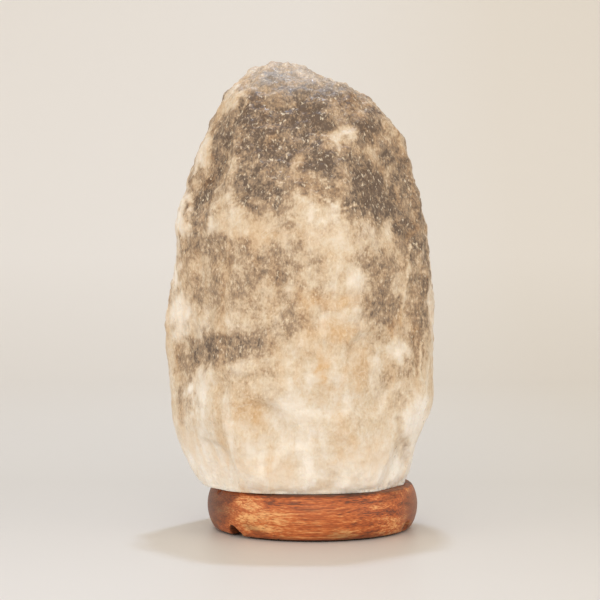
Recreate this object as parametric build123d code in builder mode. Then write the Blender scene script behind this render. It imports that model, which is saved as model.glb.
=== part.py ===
from build123d import *
import os
from math import cos, hypot, radians, sin, sqrt

# Salt crystal lamp: a hewn block of rock salt on a turned wooden base, lit from
# inside by a small screw bulb in a lampholder that is pushed up from below.
# Millimetres, +Z up. The origin is the middle of the plane that the felt ring
# stands on. The front faces -Y.

# Wooden base
base_height = 26.0
base_belly_diameter = 125.0
base_top_inset = 3.7
base_foot_inset = 4.2
base_belly_height = 13.2
base_top_fillet = 2.5
base_foot_fillet = 1.2
base_hole_diameter = 48.0
seat_recess_diameter = 92.0
seat_recess_depth = 1.2

# Cord channel in the underside, seen from outside: left flank steep, right flank sloping
channel_angle = 222.5
channel_left = 6.2
channel_right = 6.2
channel_height = 6.4
channel_peak_left = 3.4
channel_peak_right = 0.8
channel_shoulder_height = 3.8
channel_peak_drop = 0.8
channel_fillet = 1.4

# Felt ring under the base
felt_thickness = 1.0
felt_width = 13.0
felt_margin = 1.1
felt_slot_clearance = 0.6

# Screws that hold the crystal down
screw_count = 3
screw_circle_radius = 36.0
screw_diameter = 4.0
screw_length = 40.0
screw_point_length = 4.0
screw_point_taper = 1.4
screw_head_diameter = 8.4
screw_head_height = 2.8
screw_head_chamfer = 0.9
screw_hole_clearance = 0.3
cross_length = 4.6
cross_width = 1.1
cross_depth = 1.6
washer_diameter = 9.6
washer_thickness = 1.0
washer_clearance = 0.4
counterbore_depth = 9.0
plug_diameter = 8.0
plug_length = 30.0
plug_clearance = 0.1
plug_slot_width = 1.0
plug_slot_length = 18.0

# Salt crystal
crystal_height = 250.5
crystal_width = 161.2
crystal_depth = 140.0
section_exponent = 2.3
section_points = 20
bulb_bore_diameter = 55.0
bulb_bore_depth = 88.0
bulb_bore_end_fillet = 8.0

# Lampholder
cap_floor_height = 10.0
holder_diameter = 27.0
cap_height = 14.0
cap_wall = 1.8
cap_floor = 3.0
cap_edge_fillet = 1.5
cord_bore_diameter = 7.4
flute_count = 12
flute_radius = 1.1
flute_depth = 0.6
flute_margin = 3.0
clip_thickness = 0.6
clip_width = 12.0
clip_clearance = 0.15
clip_root = 1.0
clip_shelf = 3.0
clip_bow_start = 6.8
clip_bow_end = 9.8
clip_drop = 15.0
clip_toe_in = 3.0
clip_bend_radius = 1.6
spigot_length = 7.0
spigot_wall = 1.7
spigot_clearance = 0.2
collar_height = 9.4
collar_taper_height = 4.0
neck_diameter = 23.6
neck_rim_fillet = 0.8
body_height = 31.0
partition_thickness = 3.0
partition_height = 1.4
thread_shell_wall = 0.5
thread_shell_height = 14.0
thread_shell_clearance = 0.15
shell_tab_width = 2.6
skirt_bore_diameter = 18.6
carrier_clearance = 0.2
carrier_height = 7.8
terminal_width = 4.2
terminal_depth = 5.0
terminal_height = 6.0
terminal_rim = 0.6
terminal_clearance = 0.1
wire_well = 2.0
terminal_wire_bore = 2.2
terminal_wire_height = 3.6
terminal_screw_diameter = 2.6
terminal_screw_clearance = 0.05
terminal_slot_width = 0.6
terminal_slot_depth = 0.7
contact_strip_thickness = 0.4
contact_strip_width = 3.6
contact_slot_clearance = 0.1
contact_tongue_rise = 1.5
contact_root = 2.5
contact_tongue_reach = 3.0
contact_tip_drop = 0.4

# Bulb
thread_diameter = 13.9
thread_clearance = 0.1
contact_gap = 0.1
button_diameter = 4.8
button_height = 0.65
button_neck_height = 0.65
button_clearance = 0.06
insulator_height = 2.4
insulator_foot_diameter = 6.8
insulator_top_diameter = 12.0
insulator_bore_diameter = 2.2
cap_sheet = 0.3
cap_lip_diameter = 9.2
cap_shoulder_height = 1.2
cap_thread_length = 13.6
cap_flare_height = 3.0
cap_skirt_diameter = 17.0
cap_skirt_height = 5.4
glass_clearance = 0.1
glass_wall = 0.6
glass_neck_height = 2.0
glass_insert = 3.0
glass_diameter = 27.0
glass_height = 32.0
stem_wall = 0.7
stem_flare_height = 4.0
stem_tube_diameter = 5.6
stem_tube_height = 4.0
pinch_width = 6.4
pinch_thickness = 2.2
pinch_height = 6.0
pinch_corner = 0.85
wire_diameter = 0.5
wire_clearance = 0.05
wire_straight = 0.8
lead_spacing = 3.2
lead_reach = 14.0
lead_rise = 8.0
lead_end_gap = 0.7
lead_tip_length = 2.0
filament_diameter = 0.4
filament_rise = 3.2
filament_foot = 0.8
filament_dip = 2.2
support_diameter = 0.3
support_spread = 7.0
support_spacing = 1.6
support_gap = 0.4

# Heights that follow from the values above
base_top = felt_thickness + base_height
cap_rim = cap_floor_height + cap_height
body_foot = cap_rim + clip_thickness
partition_bottom = body_foot + partition_height
partition_top = partition_bottom + partition_thickness
spigot_bottom = body_foot - spigot_length
body_top = body_foot + body_height
shell_top = partition_top + thread_shell_height
tongue_top = partition_top + contact_strip_thickness + contact_tongue_rise
button_bottom = tongue_top + contact_gap
button_top = button_bottom + button_height + button_neck_height
insulator_bottom = button_bottom + button_height + button_clearance
insulator_top = insulator_bottom + insulator_height
thread_top = insulator_top + cap_thread_length
cap_top = thread_top + cap_flare_height + cap_skirt_height
glass_foot = cap_top - glass_insert
glass_top = cap_top + glass_height
pinch_bottom = glass_foot + stem_flare_height + stem_tube_height
pinch_top = pinch_bottom + pinch_height
lead_top = pinch_top + lead_rise
washer_bottom = felt_thickness + counterbore_depth - washer_thickness

# Radii that follow from the values above
base_top_radius = base_belly_diameter / 2 - base_top_inset
base_foot_radius = base_belly_diameter / 2 - base_foot_inset
base_hole_radius = base_hole_diameter / 2
holder_radius = holder_diameter / 2
cap_bore_radius = holder_radius - cap_wall
spigot_radius = cap_bore_radius - spigot_clearance
spigot_bore_radius = spigot_radius - spigot_wall
thread_radius = thread_diameter / 2
shell_bore_radius = thread_radius + thread_clearance
shell_radius = shell_bore_radius + thread_shell_wall
shell_seat_radius = shell_radius + thread_shell_clearance
carrier_radius = spigot_bore_radius - carrier_clearance
carrier_bottom = partition_bottom - carrier_height
terminal_bottom = partition_bottom - terminal_height
terminal_wire_level = terminal_bottom + terminal_wire_height
well_reach = terminal_depth / 2 + terminal_clearance + wire_well
pocket_half_width = terminal_width / 2 + terminal_clearance
leg_offset = sqrt((carrier_radius - terminal_rim) ** 2 - well_reach**2) - pocket_half_width
cap_thread_radius = thread_radius - cap_sheet / 2
cap_skirt_radius = cap_skirt_diameter / 2 - cap_sheet / 2
glass_neck_radius = cap_skirt_diameter / 2 - cap_sheet - glass_clearance
glass_radius = glass_diameter / 2
stem_foot_radius = glass_neck_radius - glass_wall - glass_clearance
wire_radius = wire_diameter / 2
screw_start_angle = channel_angle + 180 / screw_count
felt_radius = base_foot_radius - base_foot_fillet - felt_margin


# Outline of the crystal at rising heights. Height, then the middle of the section
# across and back, then its width and depth, each as a share of the whole crystal's
crystal_stations = [
    (0.000, -0.031, 0.000, 0.740, 0.780),
    (0.014, -0.036, 0.000, 0.784, 0.836),
    (0.044, -0.042, 0.004, 0.822, 0.886),
    (0.092, -0.052, 0.008, 0.872, 0.936),
    (0.148, -0.047, 0.010, 0.937, 0.971),
    (0.188, -0.039, 0.012, 0.965, 0.986),
    (0.255, -0.042, 0.014, 0.977, 0.993),
    (0.355, -0.050, 0.014, 1.000, 1.000),
    (0.455, -0.042, 0.012, 0.977, 0.986),
    (0.531, -0.034, 0.010, 0.944, 0.960),
    (0.619, -0.040, 0.012, 0.914, 0.929),
    (0.711, -0.039, 0.018, 0.848, 0.879),
    (0.770, -0.037, 0.026, 0.794, 0.814),
    (0.834, -0.035, 0.034, 0.726, 0.714),
    (0.884, -0.055, 0.040, 0.621, 0.614),
    (0.926, -0.072, 0.042, 0.507, 0.514),
    (0.958, -0.099, 0.040, 0.351, 0.371),
    (0.980, -0.113, 0.036, 0.217, 0.243),
    (1.000, -0.117, 0.032, 0.093, 0.114),
]

# Long hewn faces of the crystal: compass angle, then the distance of the face from
# the axis at mid height and how far it leans inward over the whole height, both as
# shares of the crystal's breadth that way
hewn_faces = [
    (221.0, 0.479, 0.053),
    (252.0, 0.492, 0.113),
    (318.0, 0.441, 0.026),
    (12.0, 0.462, 0.087),
    (58.0, 0.465, 0.164),
    (104.0, 0.467, 0.071),
    (148.0, 0.489, 0.129),
]

# Faces where pieces broke away, each flat through three points of the outline: compass
# angles of its left and right foot and the share of the height where they lie, then the
# compass angle and the share of the height of its peak
chipped_faces = [
    (192.0, 230.0, 0.700, 218.0, 0.900),
    (300.0, 340.0, 0.600, 318.0, 0.860),
    (312.0, 350.0, 0.015, 334.0, 0.200),
    (196.0, 232.0, 0.015, 214.0, 0.190),
    (252.0, 288.0, 0.020, 270.0, 0.300),
    (238.0, 272.0, 0.360, 256.0, 0.620),
    (246.0, 286.0, 0.720, 262.0, 0.930),
    (292.0, 328.0, 0.270, 312.0, 0.600),
    (186.0, 218.0, 0.280, 204.0, 0.560),
    (12.0, 48.0, 0.090, 30.0, 0.340),
    (62.0, 98.0, 0.040, 80.0, 0.300),
    (104.0, 142.0, 0.340, 122.0, 0.600),
    (34.0, 74.0, 0.420, 54.0, 0.700),
    (132.0, 168.0, 0.100, 150.0, 0.330),
    (96.0, 140.0, 0.680, 118.0, 0.900),
    (2.0, 44.0, 0.680, 22.0, 0.880),
    (84.0, 142.0, 0.900, 112.0, 0.985),
    (18.0, 70.0, 0.900, 44.0, 0.985),
]


def crystal_section(share):
    """Middle and half sizes of the crystal's section at this share of its height."""
    for lower, upper in zip(crystal_stations, crystal_stations[1:]):
        if share <= upper[0]:
            break
    rise = (share - lower[0]) / (upper[0] - lower[0])
    values = [low + rise * (high - low) for low, high in zip(lower, upper)]
    centre = Vector(values[1] * crystal_width, values[2] * crystal_depth)
    return centre, values[3] * crystal_width / 2, values[4] * crystal_depth / 2


def crystal_point(share, compass):
    """Point on the crystal's outline, cut back by the long hewn faces."""
    centre, half_width, half_depth = crystal_section(share)
    angle = radians(compass)
    across = abs(cos(angle) / half_width) ** section_exponent
    along = abs(sin(angle) / half_depth) ** section_exponent
    radius = (across + along) ** (-1 / section_exponent)
    for face_compass, distance, lean in hewn_faces:
        towards = radians(face_compass)
        facing = cos(angle - towards)
        breadth = hypot(crystal_width * cos(towards), crystal_depth * sin(towards))
        centre_reach = centre.X * cos(towards) + centre.Y * sin(towards)
        reach = breadth * (distance - lean * (share - 0.5)) - centre_reach
        if facing * radius > reach:
            radius = reach / facing
    level = Vector(0, 0, base_top + share * crystal_height)
    return centre + level + Vector(radius * cos(angle), radius * sin(angle))


def chip_plane(left, right, foot_share, peak, peak_share):
    """A plane through three points of the crystal's outline, facing out."""
    foot_left = crystal_point(foot_share, left)
    foot_right = crystal_point(foot_share, right)
    top = crystal_point(peak_share, peak)
    across = foot_right - foot_left
    return Plane(origin=foot_left, x_dir=across, z_dir=across.cross(top - foot_left))


def channel_plane(height):
    """A plane across the cord channel, facing out along it."""
    turn = radians(channel_angle)
    return Plane(
        origin=(0, 0, height), x_dir=(-sin(turn), cos(turn), 0), z_dir=(cos(turn), sin(turn), 0)
    )


def facing_down(height):
    """A plane at this height that faces down, with X to the right."""
    return Plane(origin=(0, 0, height), x_dir=(1, 0, 0), z_dir=(0, 0, -1))


# Wooden base: turned, with a through hole for the lampholder
with BuildPart() as wood_base:
    with BuildSketch(Plane.XZ):
        with BuildLine():
            foot = (base_foot_radius, felt_thickness)
            belly = (base_belly_diameter / 2, felt_thickness + base_belly_height)
            rim = (base_top_radius, base_top)
            Polyline(rim, (base_hole_radius, base_top), (base_hole_radius, felt_thickness), foot)
            ThreePointArc(foot, belly, rim)
        make_face()
    revolve(axis=Axis.Z)
    outer_edges = wood_base.edges().filter_by(GeomType.CIRCLE).sort_by(SortBy.RADIUS)[-2:]
    fillet(outer_edges.sort_by(Axis.Z)[-1], radius=base_top_fillet)
    foot_edges = wood_base.edges().filter_by(GeomType.CIRCLE).group_by(Axis.Z)[0]
    fillet(foot_edges.sort_by(SortBy.RADIUS)[-1], radius=base_foot_fillet)
    with BuildSketch(Plane.XY.offset(base_top)):
        Circle(seat_recess_diameter / 2)
    extrude(amount=-seat_recess_depth, mode=Mode.SUBTRACT)
    with BuildSketch(channel_plane(felt_thickness)) as channel_outline:
        with BuildLine():
            Polyline(
                (-channel_left, 0),
                (-channel_left, channel_shoulder_height),
                (-channel_peak_left, channel_height),
                (-channel_peak_right, channel_height - channel_peak_drop),
                (channel_right, 0),
                close=True,
            )
        make_face()
        fillet(channel_outline.vertices().group_by(Axis.Z)[-1], radius=channel_fillet)
    extrude(amount=base_belly_diameter / 2, mode=Mode.SUBTRACT)
    with Locations(facing_down(felt_thickness)):
        with PolarLocations(screw_circle_radius, screw_count, -screw_start_angle):
            CounterBoreHole(
                radius=screw_diameter / 2 + screw_hole_clearance,
                counter_bore_radius=washer_diameter / 2 + washer_clearance,
                counter_bore_depth=counterbore_depth,
            )
wood_base.part.label = "wood_base"

# Felt ring under the base, open where the cord channel crosses it
with BuildPart() as felt_ring:
    with BuildSketch():
        Circle(felt_radius)
        Circle(felt_radius - felt_width, mode=Mode.SUBTRACT)
        with PolarLocations(felt_radius - felt_width / 2, 1, channel_angle):
            with Locations((0, (channel_right - channel_left) / 2)):
                slot_width = channel_left + channel_right + 2 * felt_slot_clearance
                Rectangle(2 * felt_width, slot_width, mode=Mode.SUBTRACT)
    extrude(amount=felt_thickness)
felt_ring.part.label = "felt_ring"

# Salt crystal, drilled for the bulb and for the three plugs
with BuildPart() as salt_crystal:
    for share, *_ in crystal_stations:
        with BuildSketch(Plane.XY.offset(base_top + share * crystal_height)):
            with BuildLine():
                turns = [360 * step / section_points for step in range(section_points)]
                Spline(*[crystal_point(share, turn) for turn in turns], periodic=True)
            make_face()
    loft()
    for chip in chipped_faces:
        split(bisect_by=chip_plane(*chip), keep=Keep.BOTTOM)
    with BuildSketch(Plane.XY.offset(base_top)):
        Circle(bulb_bore_diameter / 2)
    extrude(amount=bulb_bore_depth, mode=Mode.SUBTRACT)
    bore_end = salt_crystal.edges().filter_by(GeomType.CIRCLE).sort_by(Axis.Z)[-1]
    fillet(bore_end, radius=bulb_bore_end_fillet)
    with BuildSketch(Plane.XY.offset(base_top)):
        with PolarLocations(screw_circle_radius, screw_count, screw_start_angle):
            Circle(plug_diameter / 2 + plug_clearance)
    extrude(amount=plug_length + plug_clearance, mode=Mode.SUBTRACT)
salt_crystal.part.label = "salt_crystal"

# Washers under the screw heads, up in the counterbores
with BuildPart() as screw_washers:
    with BuildSketch(Plane.XY.offset(washer_bottom)):
        with PolarLocations(screw_circle_radius, screw_count, screw_start_angle):
            Circle(washer_diameter / 2)
            Circle(screw_diameter / 2 + screw_hole_clearance, mode=Mode.SUBTRACT)
    extrude(amount=washer_thickness)
screw_washers.part.label = "screw_washers"

# Pan-head screws with a cross recess
with BuildPart() as crystal_screws:
    with BuildSketch(Plane.XY.offset(washer_bottom)):
        with PolarLocations(screw_circle_radius, screw_count, screw_start_angle):
            Circle(screw_head_diameter / 2)
    extrude(amount=-screw_head_height)
    head_edges = crystal_screws.edges().group_by(Axis.Z)[0]
    chamfer(head_edges, length=screw_head_chamfer)
    with BuildSketch(Plane.XY.offset(washer_bottom - screw_head_height)):
        with PolarLocations(screw_circle_radius, screw_count, screw_start_angle):
            Rectangle(cross_length, cross_width)
            Rectangle(cross_width, cross_length)
    extrude(amount=cross_depth, mode=Mode.SUBTRACT)
    with BuildSketch(Plane.XY.offset(washer_bottom)):
        with PolarLocations(screw_circle_radius, screw_count, screw_start_angle):
            Circle(screw_diameter / 2)
    extrude(amount=screw_length)
    chamfer(
        crystal_screws.edges().group_by(Axis.Z)[-1],
        length=screw_point_length,
        length2=screw_point_taper,
    )
crystal_screws.part.label = "crystal_screws"

# Nylon plugs in the crystal, split at their upper ends
with BuildPart() as screw_plugs:
    with BuildSketch(Plane.XY.offset(base_top)):
        with PolarLocations(screw_circle_radius, screw_count, screw_start_angle):
            Circle(plug_diameter / 2)
            Circle(screw_diameter / 2 + plug_clearance, mode=Mode.SUBTRACT)
    extrude(amount=plug_length)
    with BuildSketch(Plane.XY.offset(base_top + plug_length)):
        with PolarLocations(screw_circle_radius, screw_count, screw_start_angle):
            Rectangle(plug_diameter, plug_slot_width)
    extrude(amount=-plug_slot_length, mode=Mode.SUBTRACT)
screw_plugs.part.label = "screw_plugs"

# Lower cap of the lampholder: a fluted cup with the cord bore in its floor
with BuildPart() as holder_cap:
    with BuildSketch(Plane.XY.offset(cap_floor_height)):
        Circle(holder_radius)
    extrude(amount=cap_height)
    fillet(holder_cap.edges().group_by(Axis.Z)[0], radius=cap_edge_fillet)
    with BuildSketch(Plane.XY.offset(cap_rim)):
        Circle(cap_bore_radius)
    extrude(amount=-(cap_height - cap_floor), mode=Mode.SUBTRACT)
    with Locations(facing_down(cap_floor_height)):
        Hole(radius=cord_bore_diameter / 2, depth=cap_floor)
    with BuildSketch(Plane.XY.offset(cap_floor_height + flute_margin)):
        with PolarLocations(holder_radius + flute_radius - flute_depth, flute_count):
            Circle(flute_radius)
    extrude(amount=cap_height - 2 * flute_margin, mode=Mode.SUBTRACT)
holder_cap.part.label = "holder_cap"

# Spring clip: a ring gripped between cap and body, with two bowed wings
with BuildPart() as spring_clip:
    clip_reach = sqrt((base_hole_radius - clip_clearance) ** 2 - (clip_width / 2) ** 2)
    clip_middle = cap_rim + clip_thickness / 2
    clip_face = clip_reach - clip_thickness / 2
    with BuildSketch(Plane.XZ):
        with BuildLine():
            FilletPolyline(
                (spigot_radius + clip_root, clip_middle),
                (holder_radius + clip_shelf, clip_middle),
                (clip_face, clip_middle - clip_bow_start),
                (clip_face, clip_middle - clip_bow_end),
                (clip_face - clip_toe_in, clip_middle - clip_drop),
                radius=clip_bend_radius,
            )
        trace(line_width=clip_thickness)
    extrude(amount=clip_width / 2, both=True)
    mirror(about=Plane.YZ)
    with BuildSketch(Plane.XY.offset(cap_rim)):
        Circle(holder_radius)
    extrude(amount=clip_thickness)
    with BuildSketch(Plane.XY.offset(cap_rim)):
        Circle(spigot_radius + spigot_clearance)
    extrude(amount=clip_thickness, mode=Mode.SUBTRACT)
spring_clip.part.label = "spring_clip"

# Body of the lampholder: spigot, collar and neck, with a floor across it
with BuildPart() as holder_body:
    with BuildSketch(Plane.XZ):
        with BuildLine():
            collar_top = body_foot + collar_height
            neck_radius = neck_diameter / 2
            Polyline(
                (0, partition_bottom),
                (spigot_bore_radius, partition_bottom),
                (spigot_bore_radius, spigot_bottom),
                (spigot_radius, spigot_bottom),
                (spigot_radius, body_foot),
                (holder_radius, body_foot),
                (holder_radius, collar_top),
                (neck_radius, collar_top + collar_taper_height),
                (neck_radius, body_top),
                (skirt_bore_diameter / 2, body_top),
                (skirt_bore_diameter / 2, shell_top),
                (shell_seat_radius, shell_top),
                (shell_seat_radius, partition_top),
                (0, partition_top),
                close=True,
            )
        make_face()
    revolve(axis=Axis.Z)
    neck_rim = holder_body.edges().filter_by(GeomType.CIRCLE).group_by(Axis.Z)[-1]
    fillet(neck_rim, radius=neck_rim_fillet)
    with BuildSketch(Plane.XY.offset(partition_bottom)):
        with Locations((leg_offset, 0), (-shell_bore_radius - thread_shell_wall / 2, 0)):
            Rectangle(
                thread_shell_wall + 2 * contact_slot_clearance,
                contact_strip_width + 2 * contact_slot_clearance,
            )
    extrude(amount=partition_thickness, mode=Mode.SUBTRACT)
holder_body.part.label = "holder_body"

# Thread shell of the lampholder, with its tab down through the floor of the body
with BuildPart() as thread_shell:
    with BuildSketch(Plane.XY.offset(partition_top)):
        Circle(shell_radius)
        Circle(shell_bore_radius, mode=Mode.SUBTRACT)
    extrude(amount=thread_shell_height)
    with BuildSketch(Plane.XY.offset(partition_top + contact_strip_thickness)):
        with Locations((-shell_bore_radius - thread_shell_wall / 2, 0)):
            Rectangle(thread_shell_wall, shell_tab_width)
    extrude(amount=-(contact_strip_thickness + partition_thickness))
thread_shell.part.label = "thread_shell"

# Centre contact: a bronze strip with a sprung tongue under the bulb
with BuildPart() as centre_contact:
    strip_middle = partition_top + contact_strip_thickness / 2
    tongue_middle = tongue_top - contact_strip_thickness / 2
    with BuildSketch(Plane.XZ):
        with BuildLine():
            Polyline(
                (leg_offset, partition_bottom),
                (leg_offset, strip_middle),
                (-contact_root, strip_middle),
                (0, tongue_middle),
                (contact_tongue_reach, tongue_middle - contact_tip_drop),
            )
        trace(line_width=contact_strip_thickness)
    extrude(amount=contact_strip_width / 2, both=True)
    split(bisect_by=Plane.XY.offset(partition_bottom), keep=Keep.TOP)
centre_contact.part.label = "centre_contact"

# Terminal carrier up inside the spigot, with a pocket and a wire well for each terminal
with BuildPart() as terminal_carrier:
    with BuildSketch(Plane.XY.offset(carrier_bottom)):
        Circle(carrier_radius)
        with Locations((-leg_offset, -wire_well / 2), (leg_offset, -wire_well / 2)):
            Rectangle(
                2 * pocket_half_width,
                terminal_depth + wire_well + 2 * terminal_clearance,
                mode=Mode.SUBTRACT,
            )
    extrude(amount=carrier_height)
terminal_carrier.part.label = "terminal_carrier"

# Brass terminals: a bore across for the wire and a tapped hole from below
with BuildPart() as terminal_blocks:
    with BuildSketch(Plane.XY.offset(terminal_bottom)):
        with Locations((-leg_offset, 0), (leg_offset, 0)):
            Rectangle(terminal_width, terminal_depth)
    extrude(amount=terminal_height)
    with BuildSketch(Plane.XZ.offset(-terminal_depth / 2)):
        with Locations((-leg_offset, terminal_wire_level), (leg_offset, terminal_wire_level)):
            Circle(terminal_wire_bore / 2)
    extrude(amount=terminal_depth, mode=Mode.SUBTRACT)
    with BuildSketch(Plane.XY.offset(terminal_bottom)):
        with Locations((-leg_offset, 0), (leg_offset, 0)):
            Circle(terminal_screw_diameter / 2 + terminal_screw_clearance)
    extrude(amount=terminal_wire_height, mode=Mode.SUBTRACT)
terminal_blocks.part.label = "terminal_blocks"

# Slotted clamp screws in the terminals
with BuildPart() as terminal_screws:
    with BuildSketch(Plane.XY.offset(terminal_bottom)):
        with Locations((-leg_offset, 0), (leg_offset, 0)):
            Circle(terminal_screw_diameter / 2)
    extrude(amount=terminal_wire_height - terminal_wire_bore / 2)
    with BuildSketch(Plane.XY.offset(terminal_bottom)):
        with Locations((-leg_offset, 0), (leg_offset, 0)):
            Rectangle(terminal_screw_diameter, terminal_slot_width)
    extrude(amount=terminal_slot_depth, mode=Mode.SUBTRACT)
terminal_screws.part.label = "terminal_screws"

# Solder contact at the foot of the bulb
with BuildPart() as bulb_contact:
    with BuildSketch(Plane.XZ):
        with BuildLine():
            button_rim = (button_diameter / 2, button_bottom + button_height)
            neck_side = insulator_bore_diameter / 2 - button_clearance
            Polyline(
                button_rim,
                (neck_side, button_bottom + button_height),
                (neck_side, button_top),
                (0, button_top),
                (0, button_bottom),
            )
            TangentArc((0, button_bottom), button_rim, tangent=(1, 0))
        make_face()
    revolve(axis=Axis.Z)
bulb_contact.part.label = "bulb_contact"

# Glass insulator between the contact and the screw cap
with BuildPart() as bulb_insulator:
    with BuildSketch(Plane.XZ):
        with BuildLine():
            Polyline(
                (insulator_bore_diameter / 2, insulator_bottom),
                (insulator_foot_diameter / 2, insulator_bottom),
                (insulator_top_diameter / 2, insulator_top),
                (insulator_bore_diameter / 2, insulator_top),
                close=True,
            )
        make_face()
    revolve(axis=Axis.Z)
bulb_insulator.part.label = "bulb_insulator"

# Screw cap of the bulb, drawn from sheet, with its flared skirt
with BuildPart() as bulb_cap:
    with BuildSketch(Plane.XZ):
        with BuildLine():
            lip_level = insulator_top + cap_sheet / 2
            Polyline(
                (cap_lip_diameter / 2, lip_level),
                (insulator_top_diameter / 2 - cap_sheet, lip_level),
                (cap_thread_radius, insulator_top + cap_shoulder_height),
                (cap_thread_radius, thread_top),
                (cap_skirt_radius, thread_top + cap_flare_height),
                (cap_skirt_radius, cap_top),
            )
        trace(line_width=cap_sheet)
    revolve(axis=Axis.Z)
bulb_cap.part.label = "bulb_cap"

# Bulb: blown glass of one wall, from the neck in the skirt to the round top
with BuildPart() as bulb_glass:
    with BuildSketch(Plane.XZ):
        with BuildLine():
            shoulder = cap_top + glass_neck_height
            centre = glass_top - glass_radius
            for wall in (0, glass_wall):
                neck = glass_neck_radius - wall
                belly = glass_radius - wall
                middle = ((neck + belly) / 2, (shoulder + centre) / 2)
                Line((neck, glass_foot), (neck, shoulder))
                flare = TangentArc((neck, shoulder), middle, tangent=(0, 1))
                TangentArc(middle, (belly, centre), tangent=flare % 1)
                CenterArc((0, centre), belly, 0, 90)
            Line((glass_neck_radius, glass_foot), (glass_neck_radius - glass_wall, glass_foot))
            Line((0, glass_top), (0, glass_top - glass_wall))
        make_face()
    revolve(axis=Axis.Z)
bulb_glass.part.label = "bulb_glass"

# Glass stem inside the bulb: flare, tube and the flat pinch that seals the wires
with BuildPart() as bulb_stem:
    with BuildSketch(Plane.XZ):
        with BuildLine():
            tube_radius = stem_tube_diameter / 2
            flare_top = glass_foot + stem_flare_height
            Polyline(
                (stem_foot_radius, glass_foot),
                (tube_radius, flare_top),
                (tube_radius, pinch_bottom),
                (tube_radius - stem_wall, pinch_bottom),
                (tube_radius - stem_wall, flare_top - stem_wall / 2),
                (stem_foot_radius - 2 * stem_wall, glass_foot),
                close=True,
            )
        make_face()
    revolve(axis=Axis.Z)
    with BuildSketch(Plane.XY.offset(pinch_bottom)):
        RectangleRounded(pinch_width, pinch_thickness, pinch_corner)
    extrude(amount=pinch_height)
    with BuildSketch(Plane.XY.offset(pinch_bottom)):
        with Locations((-lead_spacing / 2, 0), (lead_spacing / 2, 0)):
            Circle(wire_radius + wire_clearance)
    extrude(amount=pinch_height, mode=Mode.SUBTRACT)
bulb_stem.part.label = "bulb_stem"

# Lead wires: one up from the contact, one from the side of the cap
lead_side = lead_spacing / 2
lead_tip = lead_reach / 2
cap_bore = thread_radius - cap_sheet - wire_radius - wire_clearance
contact_lead_foot = [
    (0, button_top + lead_end_gap),
    (0, insulator_top + cap_shoulder_height),
    (lead_side, thread_top),
]
cap_lead_foot = [
    (-cap_bore, thread_top - cap_flare_height),
    (-cap_bore, thread_top),
    (-lead_side, glass_foot),
]
with BuildPart() as lead_wires:
    for side, lead_foot in ((1, contact_lead_foot), (-1, cap_lead_foot)):
        with BuildLine(Plane.XZ) as lead_path:
            Polyline(
                *lead_foot,
                (side * lead_side, pinch_top + wire_straight),
                (side * lead_tip, lead_top - lead_tip_length),
                (side * lead_tip, lead_top),
            )
        with BuildSketch(Plane(origin=lead_path.line @ 0, z_dir=lead_path.line % 0)):
            Circle(wire_radius)
        sweep(path=lead_path.line, transition=Transition.RIGHT)
lead_wires.part.label = "lead_wires"

# Filament, arched over the two supports
filament_top = lead_top + filament_rise
with BuildPart() as filament:
    with BuildLine(Plane.XZ) as filament_path:
        Polyline(
            (-lead_tip, lead_top),
            (-lead_tip, lead_top + filament_foot),
            (-support_spread / 2, filament_top),
            (0, filament_top - filament_dip),
            (support_spread / 2, filament_top),
            (lead_tip, lead_top + filament_foot),
            (lead_tip, lead_top),
        )
    with BuildSketch(Plane(origin=filament_path.line @ 0, z_dir=filament_path.line % 0)):
        Circle(filament_diameter / 2)
    sweep(path=filament_path.line, transition=Transition.RIGHT)
filament.part.label = "filament"

# Supports from the pinch up to the two crests of the filament
with BuildPart() as support_wires:
    for side in (-1, 1):
        with BuildLine(Plane.XZ) as support_path:
            Polyline(
                (side * support_spacing / 2, pinch_top),
                (side * support_spacing / 2, pinch_top + lead_rise / 2),
                (side * support_spread / 2, lead_top),
                (side * support_spread / 2, filament_top - filament_diameter / 2 - support_gap),
            )
        with BuildSketch(Plane(origin=support_path.line @ 0, z_dir=support_path.line % 0)):
            Circle(support_diameter / 2)
        sweep(path=support_path.line, transition=Transition.RIGHT)
support_wires.part.label = "support_wires"

os.makedirs("parts", exist_ok=True)
pieces = [
    wood_base,
    felt_ring,
    salt_crystal,
    screw_washers,
    crystal_screws,
    screw_plugs,
    holder_cap,
    spring_clip,
    holder_body,
    thread_shell,
    centre_contact,
    terminal_carrier,
    terminal_blocks,
    terminal_screws,
    bulb_contact,
    bulb_insulator,
    bulb_cap,
    bulb_glass,
    bulb_stem,
    lead_wires,
    support_wires,
    filament,
]
for piece in pieces:
    export_step(piece.part, "parts/" + piece.part.label + ".step")
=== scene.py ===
import math
import random
from functools import partial

import bmesh
import bpy
import numpy as np
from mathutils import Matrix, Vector, noise


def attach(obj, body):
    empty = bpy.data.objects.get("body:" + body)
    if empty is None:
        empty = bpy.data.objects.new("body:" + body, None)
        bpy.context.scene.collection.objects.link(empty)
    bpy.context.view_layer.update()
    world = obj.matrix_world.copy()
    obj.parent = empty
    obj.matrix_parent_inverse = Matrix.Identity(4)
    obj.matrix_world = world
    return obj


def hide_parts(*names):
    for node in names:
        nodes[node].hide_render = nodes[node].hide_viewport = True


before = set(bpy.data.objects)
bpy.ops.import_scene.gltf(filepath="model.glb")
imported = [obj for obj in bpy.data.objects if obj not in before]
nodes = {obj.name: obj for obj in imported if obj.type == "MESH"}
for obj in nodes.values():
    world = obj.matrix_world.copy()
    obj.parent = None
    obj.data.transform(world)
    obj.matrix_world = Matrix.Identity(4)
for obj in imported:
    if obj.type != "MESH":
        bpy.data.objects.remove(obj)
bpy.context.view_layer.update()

# Salt crystal lamp: a lump of rock salt on a turned wooden base, seen unlit from the front.
# Lengths in the dictionaries are millimetres, and mm turns them into Blender's metres.
mm = 0.001
scene = bpy.context.scene
scene.view_settings.view_transform = "Standard"


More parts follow.
